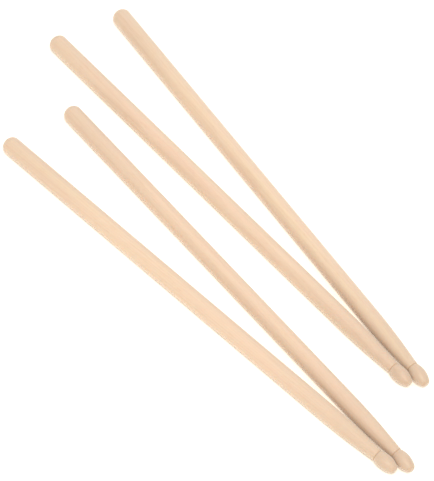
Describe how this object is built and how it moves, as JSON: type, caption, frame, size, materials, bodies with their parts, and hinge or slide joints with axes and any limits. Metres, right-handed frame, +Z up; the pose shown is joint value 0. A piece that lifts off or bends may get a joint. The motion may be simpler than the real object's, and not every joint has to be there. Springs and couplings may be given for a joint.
{
  "type": "drumsticks",
  "caption": "Slender turned wooden drumsticks with rounded butts, tapering shoulders and small acorn-shaped tips, lying in two pairs with tips together.",
  "frame": {"origin": "on the surface the sticks lie on, under the middle of the whole set", "axes": "+X along the sticks towards their playing tips, +Y across the set from the first pair to the second, +Z up"},
  "size_m": [0.4637, 0.1641, 0.0146],
  "materials": {
    "wood": "fine sanded, bare or thinly waxed pale wood with a soft low sheen"
  },
  "bodies": {
    "first_pair_right_stick": {"first_pair_right_stick": "wood"},
    "first_pair_left_stick": {"first_pair_left_stick": "wood"},
    "second_pair_right_stick": {"second_pair_right_stick": "wood"},
    "second_pair_left_stick": {"second_pair_left_stick": "wood"}
  },
  "joints": [
    {"name": "first_pair_left_lift", "type": "slide", "parent": "first_pair_right_stick", "child": "first_pair_left_stick", "axis": [0, 0, 1], "range_m": [0, 0.06]},
    {"name": "second_pair_right_lift", "type": "slide", "parent": "first_pair_right_stick", "child": "second_pair_right_stick", "axis": [0, 0, 1], "range_m": [0, 0.06]},
    {"name": "second_pair_left_lift", "type": "slide", "parent": "first_pair_right_stick", "child": "second_pair_left_stick", "axis": [0, 0, 1], "range_m": [0, 0.06]}
  ]
}
